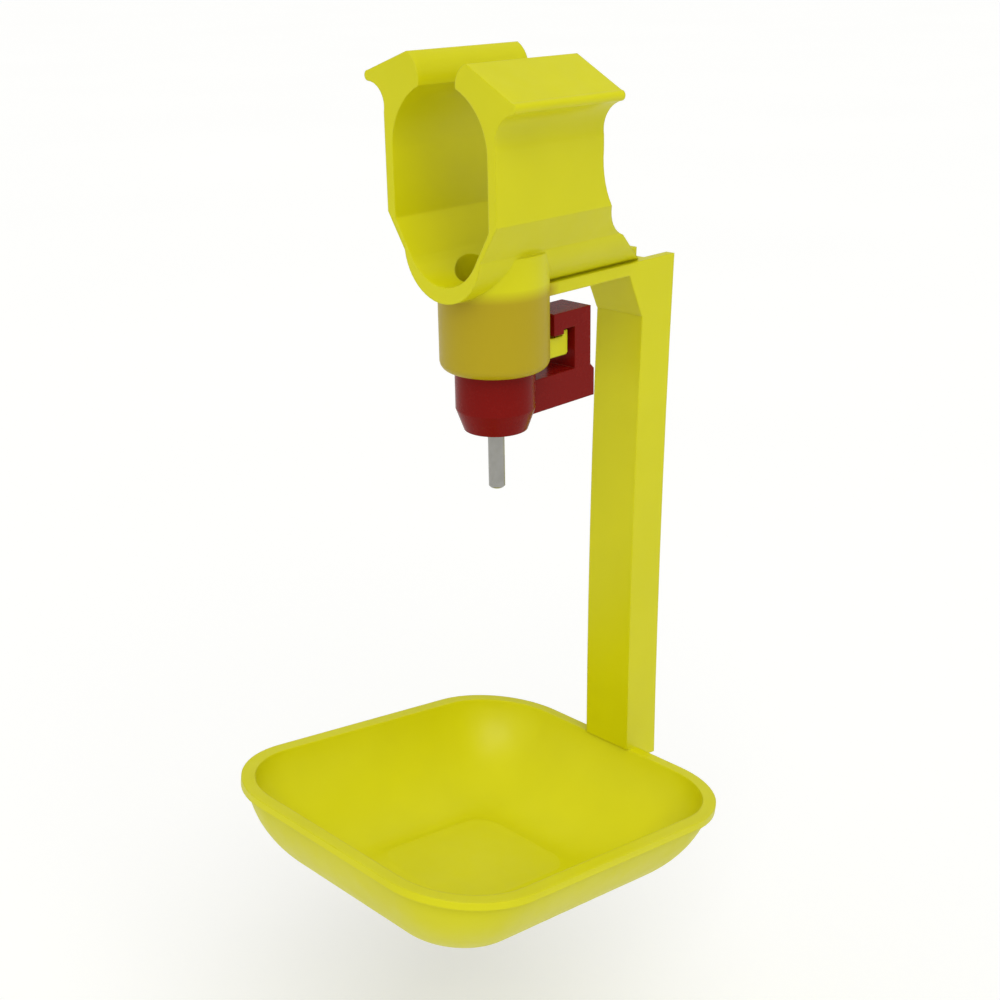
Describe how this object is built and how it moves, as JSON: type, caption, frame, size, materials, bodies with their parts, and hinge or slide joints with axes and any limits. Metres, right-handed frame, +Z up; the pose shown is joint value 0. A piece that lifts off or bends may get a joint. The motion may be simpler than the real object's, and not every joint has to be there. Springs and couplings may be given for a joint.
{
  "type": "poultry nipple drinker",
  "caption": "Pipe clip hanger with a valve nipple over a square drip cup, for watering poultry.",
  "frame": {"origin": "on the pipe's axis, straight above the nipple's axis", "axes": "+X along the pipe towards the hanging post, +Z up along the nipple"},
  "size_m": [0.099, 0.0794, 0.1776],
  "materials": {
    "yellow_plastic": "satin",
    "red_plastic": "satin",
    "stainless_steel": "ground",
    "white_plastic": "matt",
    "rubber": "matt"
  },
  "bodies": {
    "root": {"hanger": "yellow_plastic", "nipple_body": "red_plastic", "seat_washer": "rubber", "pin_seat": "stainless_steel", "ball_seat": "stainless_steel", "strainer": "white_plastic", "body_seal": "rubber"},
    "ball": {"valve_ball": "stainless_steel"},
    "trigger": {"trigger_pin": "stainless_steel"}
  },
  "joints": [
    {"name": "valve_lift", "type": "slide", "parent": "root", "child": "ball", "axis": [0, 0, 1], "range_m": [0, 0.0009]},
    {"name": "trigger_tilt", "type": "hinge", "parent": "ball", "child": "trigger", "pos_m": [0, 0, -0.0501], "axis": [0, 1, 0], "range_deg": [-7, 7]}
  ]
}
